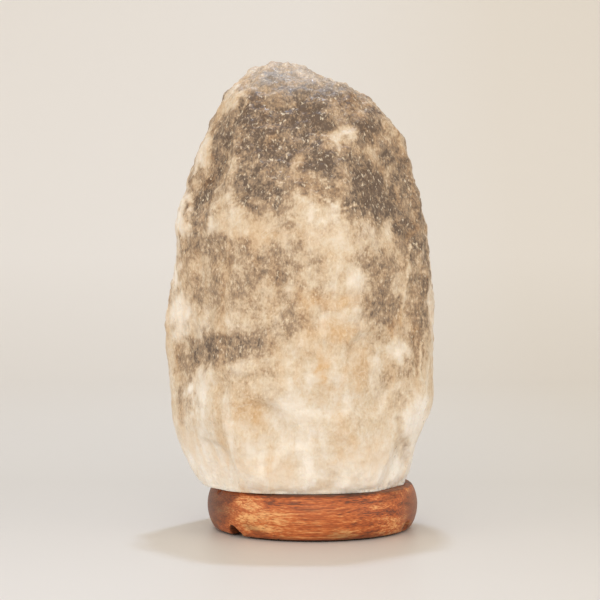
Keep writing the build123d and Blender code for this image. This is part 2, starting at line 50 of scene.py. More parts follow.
def linear(hexColour):
    # an sRGB colour as it is seen on a screen, turned to linear light
    values = [int(hexColour[i:i + 2], 16) / 255 for i in (1, 3, 5)]
    return [v / 12.92 if v <= 0.04045 else ((v + 0.055) / 1.055) ** 2.4 for v in values] + [1.0]


def perSize(size):
    # texture scale at which one cell or cloud is about this many millimetres
    return 1 / (size * mm)


# Settings that many nodes share. A blend takes its share in 0 and two colours in 6 and 7, and gives output 2
plus = {"operation": "ADD"}
times = {"operation": "MULTIPLY"}
timesPlus = {"operation": "MULTIPLY_ADD"}   # 0 times 1, plus 2
clamped = {"use_clamp": True}
blend = {"data_type": "RGBA"}
tint = {"data_type": "RGBA", "blend_type": "MULTIPLY"}


def addNode(tree, kind, settings, inputs, wanted=0):
    # one node: settings by attribute, ramp stops, then inputs as values or links; gives the wanted output
    node = tree.nodes.new("ShaderNode" + kind)
    for name, value in settings.items():
        if name == "stops":
            ramp = node.color_ramp.elements
            while len(ramp) < len(value):
                ramp.new(0.5)
            for element, (position, colour) in zip(ramp, value):
                element.position = position
                element.color = linear(colour)
        else:
            setattr(node, name, value)
    for name, value in inputs.items():
        if isinstance(value, bpy.types.NodeSocket):
            tree.links.new(value, node.inputs[name])
        else:
            node.inputs[name].default_value = value
    return node.outputs[wanted] if node.outputs else None


def startMaterial(name):
    # an empty material, addNode for its tree, and the place of each point in the piece's own frame
    material = bpy.data.materials.new(name)
    material.use_nodes = True
    material.node_tree.nodes.clear()
    add = partial(addNode, material.node_tree)
    return material, add, add("TexCoord", {}, {}, "Object")


def closeMaterial(material, inputs):
    # the surface, wired to the output
    shader = addNode(material.node_tree, "BsdfPrincipled", {}, inputs)
    addNode(material.node_tree, "OutputMaterial", {}, {"Surface": shader})
    return material


def dress(thing, material):
    thing.data.materials.clear()
    thing.data.materials.append(material)


def showInstead(piece, nodeName, body):
    # the piece stands for one solid, and moves with its body
    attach(piece, body)
    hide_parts(nodeName)


def remeshedCopy(nodeName, pieceName, voxel):
    # an evenly meshed copy of a solid, fine enough to be carved
    piece = bpy.data.objects.new(pieceName, nodes[nodeName].data.copy())
    scene.collection.objects.link(piece)
    work = bmesh.new()
    work.from_mesh(piece.data)
    bmesh.ops.remove_doubles(work, verts=work.verts, dist=0.001 * mm)
    work.to_mesh(piece.data)
    work.free()
    voxels = piece.modifiers.new("voxels", "REMESH")
    voxels.mode = "VOXEL"
    voxels.voxel_size = voxel * mm
    even = bpy.data.meshes.new_from_object(piece.evaluated_get(bpy.context.evaluated_depsgraph_get()))
    piece.modifiers.clear()
    piece.data = even
    even.shade_smooth()
    return piece


def readPoints(mesh):
    # points and their normals, in millimetres
    points = np.empty(len(mesh.vertices) * 3, np.float32)
    mesh.vertices.foreach_get("co", points)
    normals = np.empty(len(mesh.vertices) * 3, np.float32)
    mesh.vertex_normals.foreach_get("vector", normals)
    return points.reshape(-1, 3).astype(float) / mm, normals.reshape(-1, 3).astype(float)


def writePoints(mesh, points):
    mesh.vertices.foreach_set("co", (points * mm).astype(np.float32).ravel())
    mesh.update()


def writeLayer(mesh, name, values):
    layer = mesh.attributes.new(name, "FLOAT", "POINT")
    layer.data.foreach_set("value", np.clip(values, 0, 1).astype(np.float32))


def clouds(points, size, seed, octaves=3):
    # smooth noise from about -1 to 1, with its largest lumps of this size
    shift = Vector((seed * 17.3, seed * 5.9, seed * 11.7))
    return np.array([noise.fractal(Vector(p) / size + shift, 0.8, 2.1, octaves) for p in points])


def shake(points, size, reach, seed, octaves=3):
    # how far three clouds push each point, along x, y and z
    return np.stack([clouds(points, size, seed + axis, octaves) for axis in range(3)], axis=1) * reach


def smoothStep(values, low, high):
    share = np.clip((values - low) / (high - low), 0, 1)
    return share * share * (3 - 2 * share)


def relax(mesh, points, free, rounds):
    # washes edges away: each free point moves half way to the middle of its neighbours
    ends = np.empty(len(mesh.edges) * 2, np.int32)
    mesh.edges.foreach_get("vertices", ends)
    one, other = ends.reshape(-1, 2).T
    count = np.bincount(ends, minlength=len(points))[:, None]
    for _ in range(rounds):
        total = np.stack([np.bincount(one, points[other, axis], len(points))
                          + np.bincount(other, points[one, axis], len(points)) for axis in range(3)], axis=1)
        points += (total / count - points) * 0.5 * free[:, None]
    return points


# Camera and light: a long lens a little above the lamp, a small lamp high behind it, and broad soft fill in
# front and at both sides
print("camera and light")
view = {
    "place": (-7.4, -1300.0, 203.0),
    "pitchDown": 2.97,      # degrees below level
    "focalLength": 131.6,   # for this sensor
    "sensor": 36.0,
    "clipEnd": 20.0,        # in metres, past the wall
}
lamps = {
    "high strip": {"place": (28, 365, 1300), "aim": (0, 0, 60), "size": (110, 60), "watts": 5.8,
                   "colour": "#C9E0FF"},
    "front softbox": {"place": (-60, -1350, 620), "aim": (0, 0, 120), "size": (1100, 800), "watts": 5.8,
                      "colour": "#FFF9F0"},
}
for side, across in (("left", -1150), ("right", 1150)):
    lamps[side + " softbox"] = {"place": (across, -650, 330), "aim": (0, 0, 110), "size": (700, 600),
                                "watts": 2.6, "colour": "#FFF9F0"}
surroundings = {"colour": "#FFF5E8", "strength": 0.80}


def aimAt(thing, place, target):
    thing.location = Vector(place) * mm
    thing.rotation_euler = (Vector(target) - Vector(place)).to_track_quat("-Z", "Y").to_euler()


camera = bpy.data.objects.new("camera", bpy.data.cameras.new("camera"))
scene.collection.objects.link(camera)
camera.data.lens = view["focalLength"]
camera.data.sensor_width = view["sensor"]
camera.data.clip_end = view["clipEnd"]
camera.location = Vector(view["place"]) * mm
camera.rotation_euler = (math.radians(90 - view["pitchDown"]), 0, 0)
scene.camera = camera

for name, lamp in lamps.items():
    light = bpy.data.lights.new(name, "AREA")
    light.shape = "RECTANGLE"
    light.size = lamp["size"][0] * mm
    light.size_y = lamp["size"][1] * mm
    light.energy = lamp["watts"]
    light.color = linear(lamp["colour"])[:3]
    softbox = bpy.data.objects.new(name, light)
    scene.collection.objects.link(softbox)
    aimAt(softbox, lamp["place"], lamp["aim"])

world = bpy.data.worlds.new("studio")
world.use_nodes = True
world.node_tree.nodes.clear()
sky = addNode(world.node_tree, "Background", {},
              {"Color": linear(surroundings["colour"]), "Strength": surroundings["strength"]})
addNode(world.node_tree, "OutputWorld", {}, {"Surface": sky})
scene.world = world

# Paper sweep: flat floor, a quarter bend and the wall behind
print("paper sweep")
sweep = {
    "halfWidth": 3000,
    "front": -2600,
    "bendStart": 900,
    "bendRadius": 700,
    "top": 2600,
    "bendSteps": 24,
    # the tones are graded as painted shade: darker just behind the lamp, lighter towards the bend and up the
    # wall, a little darker to the right
    "near": "#DBD9D7",         # in front of the lamp
    "far": "#D3D0CB",          # behind it
    "back": "#E4E1DC",         # where the bend starts
    "high": "#EDEBE8",         # up the wall
    "right": "#FBF8F2",        # multiplies the tone towards the right edge
    "depthRun": (-0.2, 0.9),   # in metres, from the near tone to the back one ...
    "farStop": 0.36,           # ... with the far one this share of the way
    "highRun": 0.12,           # in metres, as the next
    "rightRun": 0.25,
}


def makeSweep():
    profile = [(sweep["front"], 0.0), (sweep["bendStart"], 0.0)]
    for step in range(1, sweep["bendSteps"] + 1):
        turn = math.pi / 2 * step / sweep["bendSteps"]
        profile.append((sweep["bendStart"] + sweep["bendRadius"] * math.sin(turn),
                        sweep["bendRadius"] * (1 - math.cos(turn))))
    profile.append((sweep["bendStart"] + sweep["bendRadius"], sweep["top"]))
    mesh = bpy.data.meshes.new("paper sweep")
    ends = (-sweep["halfWidth"], sweep["halfWidth"])
    points = [(x * mm, y * mm, z * mm) for y, z in profile for x in ends]
    faces = [(2 * i, 2 * i + 1, 2 * i + 3, 2 * i + 2) for i in range(len(profile) - 1)]
    mesh.from_pydata(points, [], faces)
    mesh.shade_smooth()
    paper = bpy.data.objects.new("paper_sweep", mesh)
    scene.collection.objects.link(paper)
    return paper


def paperMaterial():
    # smooth paper with a faint satin sheen, so the wood glows a little in the floor at its foot
    material, add, place = startMaterial("satin paper")
    axes = add("SeparateXYZ", {}, {"Vector": place}).node.outputs
    near, back = sweep["depthRun"]
    away = add("MapRange", {}, {"Value": axes["Y"], "From Min": near, "From Max": back})
    rise = add("MapRange", {}, {"Value": axes["Z"], "From Max": sweep["highRun"]})
    aside = add("MapRange", {}, {"Value": axes["X"], "From Max": sweep["rightRun"]})
    stops = [(0.0, sweep["near"]), (sweep["farStop"], sweep["far"]), (1.0, sweep["back"])]
    floorTone = add("ValToRGB", {"stops": stops}, {"Fac": away})
    tone = add("Mix", blend, {0: rise, 6: floorTone, 7: linear(sweep["high"])}, 2)
    uneven = add("Mix", tint, {0: aside, 6: tone, 7: linear(sweep["right"])}, 2)
    return closeMaterial(material, {"Base Color": uneven, "Roughness": 0.42, "Specular IOR Level": 0.5})


paper = makeSweep()
dress(paper, paperMaterial())

# Salt crystal: hewn, then washed, so its edges are soft and its skin is grainy
print("salt crystal")
crystal = {
    "voxel": 1.25,            # about two pixels of the picture
    "foot": 27.0,             # where it stands on the wood
    "footFacing": -0.8,       # faces near it that look down this much aren't carved
    "footSlack": 0.7,
    "boreReach": 29.5,        # nothing inside this radius is carved ...
    "boreTop": 117.0,         # ... up to this height
    "plugReach": 44.0,
    "plugTop": 60.0,
    "washRounds": 26,
    "facets": 90,
    "facetDepth": (0.25, 0.9),
    "facetTilt": 0.14,
    "facetReach": 20.0,
    "facetCore": 0.7,         # share of the reach inside which a facet is flat
    "lumps": ((26.0, 1.0), (9.0, 0.5), (3.6, 0.13)),   # size and height of each scale of relief
    "valley": 2.2,            # how narrow the valleys between the lumps are
    "lumpRise": 0.4,          # how far the lumps stand out, as a share of the valleys' depth
    "calm": 0.45,             # the water has left the salt smooth at the foot ...
    "calmEnds": (85, 115),    # ... and less so from here to here
    "peakRoughness": 0.9,
    "peakEnds": (245, 265),   # the relief grows rougher towards the top
    "pits": 320,
    "pitRadius": (1.6, 4.0),
    "pitDepth": (0.15, 0.5),
    "frontEnds": (-20, 5),    # clefts and crests fade out over these depths
    "waver": (8, 2),          # size and reach of the wavering of their courses
    "rimHeight": 5.0,
    "rimChips": (6.0, 0.8, 0.3),   # size of the chips in the lower edge, how uneven and how wide they are
    "rimBite": 1.3,                # how deep they are ...
    "rimMore": (300, 350, 1.8),    # ... and between these compass points, that many times more on top
    "rimFade": 8,
    "skin": 0.05,             # the relief stays this far inside the solid's box
    "footGap": 0.02,
    # layers that the material reads: a ramp has its strength, and where it begins and ends
    "warps": ((22, 6, 21, 3), (7, 4, 24, 4)),   # size, reach, seed and octaves of what breaks up the spots
    "middle": -8,                 # across, of the crystal
    "film": 0.07,                 # thin grey everywhere ...
    "filmLow": (0.12, 60, 95),    # ... and more of it with height
    "filmHigh": (0.26, 85, 210),
    "filmAside": (0.12, 56, 76),  # and at both sides, above the foot
    "asideHeights": (90, 140),
    "paleOnFilm": 0.8,            # how much of the film a pale patch takes away ...
    "paleOnStains": 0.55,         # ... and of a stain
    "stains": 0.62,
    "mottle": (0.20, 13, 41, 6),  # strength, size, seed and octaves of the clouds in the grime
    "grimeEnds": (-0.26, 1.28),
    "seamWidth": 1.6,             # of the grime and painted shade along a cleft, in widths of the cleft
    "seamPerDepth": 0.5,
    "seamMost": 0.6,
    "seamHeights": (60, 100),
    "seamLeast": 0.25,
    "crestWidth": 1.2,            # of the painted highlight on a crest, where grime is taken away
    "crestHighlight": 0.8,
    # painted light: whiter at the foot, most at its corners, where the salt turns down and away from the
    # lamps; at the flanks, where the thin salt glows; and a painted highlight along the crown
    "footLight": 0.35,
    "footLightAside": (0.45, 20, 55),
    "footLightHeights": (34, 66),
    "flankLight": 0.8,
    "flankEnds": (46, 70),
    "crownHighlight": (0.55, 250, 268),
    # colours of the stone, and sizes of its patterns
    "milk": "#E3D8C8", "cream": "#D9C8AF", "beige": "#C9B397", "brown": "#A88F74", "grey": "#8A7661",
    "dark": "#655344",      # clean salt to grime and painted shade, in this order
    "white": "#F6E8CF",     # the painted glint of a grain
    "honey": "#F2D4A8",     # multiplies the tone where iron has stained it
    # white of fresh salt, and of the painted light on the foot, flanks and crown
    "snow": "#F7F1E8",
    "grain": 1.2,
    "cluster": 5.0,
    "drift": 11.0,
    "fleck": 1.8,
    "cell": 2.2,
    "cleavage": 13.0,
    "relief": 0.6,
}
# Clefts seen from the front: across and height of each point, then half width and depth
clefts = [
    ([(-40, 252), (-49, 230), (-54, 212), (-62, 196)], 4.0, 1.4),
    ([(50, 68), (53, 55), (55, 40)], 3.0, 1.5),
    ([(55, 160), (59, 130), (60, 98)], 2.2, 0.7),
    ([(24, 214), (40, 196), (52, 180)], 3.0, 0.7),
]
# Thin crests left between two hewn faces: their course, then half width and height
crests = [
    ([(56, 170), (54, 150), (51, 132)], 1.3, 0.8),
    ([(64, 112), (61, 102), (63, 92)], 1.2, 0.8),
    ([(52, 85), (59, 75)], 1.0, 0.5),
    ([(2, 198), (16, 190), (26, 192)], 1.2, 0.5),
]
# Stains seen from the front: across, height, half width, half height, tilt in degrees, strength
greyStains = [
    (-32, 236, 18, 20, 0, 0.9), (-20, 224, 18, 13, 10, 0.85), (-4, 242, 13, 13, 0, 1.3),
    (8, 217, 11, 12, -30, 1.0), (30, 238, 12, 9, 30, 0.75), (42, 220, 10, 10, 0, 0.7),
    (37, 198, 12, 30, 35, 1.2), (22, 190, 9, 10, 0, 0.9), (-53, 226, 6, 24, -16, 0.75),
    (-64, 190, 8, 24, -10, 0.65), (-34, 200, 22, 12, -8, 0.7), (-20, 230, 36, 24, 0, 0.8),
    (-38, 150, 36, 30, 0, 0.2), (-24, 158, 24, 12, 10, 0.4), (-62, 168, 13, 10, 0, 0.4),
    (38, 158, 12, 11, 0, 0.5), (60, 150, 8, 40, 4, 0.55), (39, 134, 13, 20, 0, 0.6),
    (-52, 142, 24, 14, 0, 0.4), (-20, 138, 16, 10, 0, 0.3), (-62, 107, 20, 12, 18, 1.0),
    (-44, 113, 24, 11, 18, 0.85), (-20, 124, 16, 8, 15, 0.4), (-74, 79, 5, 19, -8, 0.6),
    (-38, 88, 18, 12, 0, 0.4), (47, 90, 8, 18, 0, 0.45), (52, 52, 3.5, 14, 0, 0.5),
    (30, 67, 4, 4, 0, 0.35), (10, 256, 24, 10, 0, 0.75), (-16, 262, 20, 9, 0, 0.75),
    (56, 200, 10, 28, 20, 0.45), (60, 112, 7, 20, 0, 0.5), (-12, 205, 26, 26, 0, 0.35),
    (14, 150, 3, 12, 0, 0.3), (-46, 72, 14, 12, 0, 0.4), (32, 66, 15, 16, 0, 0.4),
    (9, 139, 12, 8, 0, 0.4), (-49, 185, 10, 6, 0, 0.3), (-4, 188, 8, 6, 0, 0.4),
]
palePatches = [
    (12, 230, 9, 7, 0, 1.0), (-8, 218, 6, 5, 0, 0.8), (-50, 184, 14, 10, 0, 0.8),
    (-3, 188, 15, 8, 0, 1.0), (-29, 178, 16, 8, 0, 0.8), (11, 170, 17, 13, 0, 0.75),
    (16, 142, 14, 18, 0, 0.7), (-79, 129, 9, 14, 0, 1.0), (-7, 143, 8, 5, 0, 0.5),
    (-7, 56, 68, 34, 0, 1.0), (-13, 110, 9, 5, 0, 0.8), (4, 92, 34, 18, 0, 0.8),
    (-46, 252, 10, 7, 0, 0.7), (-60, 80, 11, 14, 0, 0.9), (42, 176, 6, 8, 0, 0.6),
    (34, 222, 4, 6, 0, 0.6), (48, 108, 10, 6, -30, 0.6), (57, 68, 12, 14, 0, 0.8),
    (-48, 220, 3, 10, -10, 0.5), (30, 120, 8, 14, 0, 0.4), (-77, 188, 5, 24, -8, 0.8),
    (-66, 226, 5, 16, -25, 0.8), (-82, 155, 4, 12, 0, 0.7), (70, 140, 3, 30, 2, 0.6),
]
amberSpots = [
    (-60, 220, 5, 4, 0, 0.9), (-62, 206, 6, 4, 0, 0.9), (8, 102, 3, 12, 0, 1.0), (50, 125, 7, 7, 0, 0.9),
    (-16, 177, 7, 4, 0, 0.5), (-36, 76, 12, 10, 0, 0.5), (8, 137, 20, 6, 0, 1.0),
    (14, 122, 14, 5, 0, 0.8), (57, 177, 3, 7, 0, 0.9), (18, 252, 7, 4, 0, 0.5), (26, 96, 6, 16, 0, 0.5),
    (-30, 46, 20, 7, 0, 0.4), (30, 50, 14, 10, 0, 0.3), (-50, 62, 8, 14, 0, 0.4), (0, 176, 22, 6, 0, 0.4),
]
# The sides and the back, which the picture doesn't show: how many spots, and between which heights
hiddenSpots = {"grey": (26, 85, 265), "pale": (10, 40, 250), "amber": (14, 50, 250)}
# Each of them has its across, half width, half height, tilt and strength drawn from these ranges
spotRanges = {"across": (-70, 60), "halfWidth": (6, 22), "halfHeight": (5, 16), "tilt": (-30, 40),
              "strength": (0.4, 1.0)}
spotEdge = (0.25, 1.5)      # a spot fades out between these shares of its half size
spotDepths = (-14, 6)       # and round the side of the lamp, over these depths


def ramp(values, strength, low, high):
    return strength * smoothStep(values, low, high)


def inFront(points):
    # 1 on the front of the crystal, 0 behind its middle
    return 1 - smoothStep(points[:, 1], *crystal["frontEnds"])


def wavering(points):
    size, reach = crystal["waver"]
    return points + shake(points, size, reach, 51)


def nearLine(points, line):
    # distance in the front view from each point to a broken line
    flat = points[:, [0, 2]]
    nearest = np.full(len(points), np.inf)
    for start, end in zip(line, line[1:]):
        start = np.array(start, float)
        run = np.array(end, float) - start
        share = np.clip((flat - start) @ run / (run @ run), 0, 1)
        nearest = np.minimum(nearest, np.linalg.norm(flat - start - share[:, None] * run, axis=1))
    return nearest


def onLine(points, line, halfWidth):
    # 1 on the line, and 0 from its half width on
    return 1 - smoothStep(nearLine(points, line), 0, halfWidth)


def hewFacets(points, normals, free, draw):
    # small flat faces: points beyond a plane are pressed back onto it
    spots = draw.sample(list(np.flatnonzero(free)), crystal["facets"])
    for spot in spots:
        tilt = np.array([draw.uniform(-1, 1) for _ in range(3)]) * crystal["facetTilt"]
        facing = normals[spot] + tilt
        facing /= np.linalg.norm(facing)
        depth = draw.uniform(*crystal["facetDepth"])
        away = np.linalg.norm(points - points[spot], axis=1)
        beyond = (points - points[spot]) @ facing + depth
        hit = free & (beyond > 0) & (away < crystal["facetReach"])
        fade = 1 - smoothStep(away[hit], crystal["facetReach"] * crystal["facetCore"], crystal["facetReach"])
        points[hit] -= (beyond[hit] * fade)[:, None] * facing


def digPits(points, normals, free, draw):
    # small bites, where grains have fallen out
    spots = draw.sample(list(np.flatnonzero(free)), crystal["pits"])
    for spot in spots:
        radius = draw.uniform(*crystal["pitRadius"])
        depth = draw.uniform(*crystal["pitDepth"])
        near = np.flatnonzero(np.abs(points - points[spot]).max(axis=1) < radius)
        away = np.linalg.norm(points[near] - points[spot], axis=1) / radius
        bowl = np.clip(1 - away ** 2, 0, None) * depth * free[near]
        points[near] -= bowl[:, None] * normals[near]


def carveCrystal(piece):
    mesh = piece.data
    points, normals = readPoints(mesh)
    lowest = points.min(axis=0)
    highest = points.max(axis=0)
    reach = np.hypot(points[:, 0], points[:, 1])
    height = points[:, 2]
    inBore = (reach < crystal["boreReach"]) & (height < crystal["boreTop"])
    inPlugHole = (reach < crystal["plugReach"]) & (height < crystal["plugTop"])
    onFoot = (normals[:, 2] < crystal["footFacing"]) & (height < crystal["foot"] + crystal["footSlack"])
    free = ~(inBore | inPlugHole | onFoot)
    points = relax(mesh, points, free, crystal["washRounds"])
    writePoints(mesh, points)
    points, normals = readPoints(mesh)
    draw = random.Random(7)
    hewFacets(points, normals, free, draw)
    rougher = crystal["calm"] + (1 - crystal["calm"]) * smoothStep(height, *crystal["calmEnds"])
    rougher += ramp(height, crystal["peakRoughness"], *crystal["peakEnds"])
    for number, (size, depth) in enumerate(crystal["lumps"]):
        crease = np.abs(clouds(points, size, number + 1))   # sharp valleys between rounded lumps
        relief = np.clip(1 - crystal["valley"] * crease, -crystal["lumpRise"], 1)
        points -= (relief * depth * rougher * free)[:, None] * normals
    digPits(points, normals, free, draw)
    front = free * inFront(points)
    courses = wavering(points)
    for line, halfWidth, depth in clefts:
        cut = onLine(courses, line, halfWidth) * depth * front
        points -= cut[:, None] * normals
    for line, halfWidth, rise in crests:
        lift = onLine(courses, line, halfWidth) * rise * front
        points += lift[:, None] * normals
    low = 1 - smoothStep(height, crystal["foot"], crystal["foot"] + crystal["rimHeight"])
    size, uneven, wide = crystal["rimChips"]
    bite = np.clip(clouds(points * (1, 1, 0.3), size, 9) * uneven + wide, 0, 1) * crystal["rimBite"]
    compass = np.degrees(np.arctan2(points[:, 1], points[:, 0])) % 360
    start, end, more = crystal["rimMore"]
    fade = crystal["rimFade"]
    entered = smoothStep(compass, start - fade, start + fade)
    left = smoothStep(compass, end - fade, end + fade)
    bite *= 1 + more * entered * (1 - left)
    outward = points * (1, 1, 0) / np.maximum(reach, 1)[:, None]
    points -= (low * bite * free)[:, None] * outward
    points = np.clip(points, lowest + crystal["skin"], highest - crystal["skin"])
    points[:, 2] = np.maximum(points[:, 2], crystal["foot"] + crystal["footGap"])
    writePoints(mesh, points)


def cover(points, spots, side):
    # how strongly spots cover each point of the front (side -1) or of the back (side 1)
    total = np.zeros(len(points))
    for across, height, halfWidth, halfHeight, tilt, strength in spots:
        turn = math.radians(tilt)
        aside = points[:, 0] - across
        above = points[:, 2] - height
        longways = (aside * math.cos(turn) + above * math.sin(turn)) / halfWidth
        crossways = (above * math.cos(turn) - aside * math.sin(turn)) / halfHeight
        total = np.maximum(total, strength * (1 - smoothStep(np.hypot(longways, crossways), *spotEdge)))
    return total * smoothStep(side * points[:, 1], *spotDepths)


def scatter(draw, count, low, high):
    ranges = [spotRanges["across"], (low, high), spotRanges["halfWidth"], spotRanges["halfHeight"],
              spotRanges["tilt"], spotRanges["strength"]]
    return [[draw.uniform(*ends) for ends in ranges] for _ in range(count)]


def paintCrystal(piece):
    # grime with painted shade in its clefts, amber, and painted light on the foot, flanks and crown, as
    # layers of the mesh; the material breaks up their edges
    mesh = piece.data
    points, _ = readPoints(mesh)
    coarse, fine = crystal["warps"]
    warped = points + (shake(points, *coarse) + shake(points, *fine))
    draw = random.Random(31)
    hiddenGrey = scatter(draw, *hiddenSpots["grey"])
    hiddenPale = scatter(draw, *hiddenSpots["pale"])
    hiddenAmber = scatter(draw, *hiddenSpots["amber"])
    height = points[:, 2]
    outward = np.abs(points[:, 0] - crystal["middle"])
    film = crystal["film"] + ramp(height, *crystal["filmLow"]) + ramp(height, *crystal["filmHigh"])
    sides = ramp(outward, *crystal["filmAside"]) * smoothStep(height, *crystal["asideHeights"])
    dark = np.maximum(cover(warped, greyStains, -1), cover(warped, hiddenGrey, 1))
    pale = np.maximum(cover(warped, palePatches, -1), cover(warped, hiddenPale, 1))
    field = (film + sides) * (1 - crystal["paleOnFilm"] * pale)
    field = field + crystal["stains"] * dark * (1 - crystal["paleOnStains"] * pale)
    strength, size, seed, octaves = crystal["mottle"]
    grime = smoothStep(field + strength * clouds(points, size, seed, octaves), *crystal["grimeEnds"])
    front = inFront(points)
    courses = wavering(points)
    # grime and painted shade darken each cleft, more above the seam heights
    for line, halfWidth, depth in clefts:
        seam = onLine(courses, line, crystal["seamWidth"] * halfWidth) * front
        upper = min(crystal["seamPerDepth"] * depth, crystal["seamMost"]) * seam
        lower = crystal["seamLeast"] * seam
        grime = np.maximum(grime, upper * smoothStep(height, *crystal["seamHeights"]) + lower)
    # painted highlight: the grime is taken off each crest, as if it caught the light
    for line, halfWidth, _ in crests:
        crest = onLine(courses, line, crystal["crestWidth"] * halfWidth) * front
        grime *= 1 - crystal["crestHighlight"] * crest
    # painted light: the foot and its corners are whitened against their shade, pale patches at the flanks
    # glow, and a painted highlight runs along the crown
    foot = crystal["footLight"] + ramp(outward, *crystal["footLightAside"])
    foot = foot * (1 - smoothStep(height, *crystal["footLightHeights"]))
    flanks = crystal["flankLight"] * pale * smoothStep(outward, *crystal["flankEnds"])
    crown = ramp(height, *crystal["crownHighlight"])
    writeLayer(mesh, "snow", np.maximum(np.maximum(foot, flanks), crown))
    writeLayer(mesh, "grime", grime)
    writeLayer(mesh, "amber", np.maximum(cover(warped, amberSpots, -1), cover(warped, hiddenAmber, 1)))


def rockSaltMaterial():
    # rock salt, hewn and washed: milky, faintly translucent, with painted glints on the coarse grains of the
    # grey veins
    material, add, place = startMaterial("rock salt, hewn and washed")
    grime, amber, snow = [add("Attribute", {"attribute_name": layer}, {}, "Fac")
                          for layer in ("grime", "amber", "snow")]
    upright = add("Mapping", {}, {"Vector": place, "Scale": (1.0, 1.0, 0.6)})
    streaks = add("Mapping", {}, {"Vector": place, "Scale": (1.0, 1.0, 0.35)})
    grain, cluster, drift, fleck, sheet = [
        add("TexNoise", {}, {"Vector": where, "Scale": perSize(crystal[size]), **more})
        for where, size, more in ((upright, "grain", {"Detail": 2.0, "Roughness": 0.6}),
                                  (place, "cluster", {"Detail": 5.0, "Roughness": 0.62}),
                                  (streaks, "drift", {"Detail": 5.0, "Distortion": 0.6}),
                                  (upright, "fleck", {"Detail": 3.0, "Roughness": 0.55}),
                                  (place, "cleavage", {"Detail": 3.0, "Distortion": 1.2}))]
    cells = add("TexVoronoi", {}, {"Vector": place, "Scale": perSize(crystal["cell"])}).node.outputs
    # clusters and grains push the grime and painted shade up and down, most where it is already dark
    swing = add("Math", timesPlus, {0: cluster, 1: 1.3, 2: -0.65})
    fine = add("Math", timesPlus, {0: grain, 1: 1.0, 2: -0.5})
    coarse = add("Math", plus, {0: swing, 1: fine})
    weight = add("Math", timesPlus, {0: grime, 1: 0.9, 2: 0.36})
    ragged = add("Math", timesPlus, {0: coarse, 1: weight, 2: grime})
    stops = [(0.0, crystal["milk"]), (0.18, crystal["cream"]), (0.38, crystal["beige"]),
             (0.58, crystal["brown"]), (0.78, crystal["grey"]), (0.96, crystal["dark"])]
    stone = add("ValToRGB", {"stops": stops}, {"Fac": ragged})
    # fresh white salt where the drifting clouds leave it, and painted light from the layer of the whitened
    # foot, flanks and crown
    clean = add("MapRange", {}, {"Value": grime, "From Max": 0.5, "To Min": 1.0, "To Max": 0.0})
    fresh = add("MapRange", {}, {"Value": drift, "From Min": 0.34, "From Max": 0.47,
                                 "To Min": 0.6, "To Max": 0.0})
    freshAndLit = add("Math", plus | clamped, {0: fresh, 1: snow})
    cleanFreshAndLit = add("Math", times, {0: freshAndLit, 1: clean})
    whiteShare = add("Math", timesPlus | clamped, {0: snow, 1: 0.35, 2: cleanFreshAndLit})
    whitened = add("Mix", blend, {0: whiteShare, 6: stone, 7: linear(crystal["snow"])}, 2)
    warmth = add("MapRange", {}, {"Value": drift, "From Min": 0.46, "From Max": 0.72, "To Max": 0.4})
    amberShare = add("Math", timesPlus | clamped, {0: amber, 1: cluster, 2: warmth})
    warmed = add("Mix", tint, {0: amberShare, 6: whitened, 7: linear(crystal["honey"])}, 2)
    # planes of cleavage inside the milky salt show as thin paler curves
    atSheet = add("Math", {"operation": "COMPARE"}, {0: sheet, 1: 0.5, 2: 0.012})
    onSheet = add("Math", times, {0: atSheet, 1: clean})
    sheetShare = add("Math", times, {0: onSheet, 1: 0.5})
    veined = add("Mix", blend, {0: sheetShare, 6: warmed, 7: linear(crystal["milk"])}, 2)
    # painted glints: here and there a cleaved grain is whitened as if it caught the light, mostly in the
    # grey veins
    bright = add("MapRange", {}, {"Value": fleck, "From Min": 0.59, "From Max": 0.70, "To Max": 0.62})
    sparkle = add("Math", times, {0: bright, 1: weight})
    glinted = add("Mix", blend, {0: sparkle, 6: veined, 7: linear(crystal["white"])}, 2)
    height = add("Math", plus, {0: coarse, 1: cells["Distance"]})
    depth = add("MapRange", {}, {"Value": grime, "From Max": 0.5, "To Min": 0.3, "To Max": 0.65})
    bump = add("Bump", {}, {"Height": height, "Strength": depth, "Distance": crystal["relief"] * mm})
    rough = add("MapRange", {}, {"Value": cells["Color"], "From Min": 0.7, "From Max": 0.9,
                                 "To Min": 0.55, "To Max": 0.25})
    return closeMaterial(material, {
        "Base Color": glinted, "Roughness": rough, "IOR": 1.544, "Normal": bump,
        "Subsurface Weight": 0.25, "Subsurface Radius": (1.0, 0.8, 0.6), "Subsurface Scale": 0.005})


saltLump = remeshedCopy("salt_crystal", "salt_lump", crystal["voxel"])
carveCrystal(saltLump)
paintCrystal(saltLump)
dress(saltLump, rockSaltMaterial())
showInstead(saltLump, "salt_crystal", "lamp_stand")

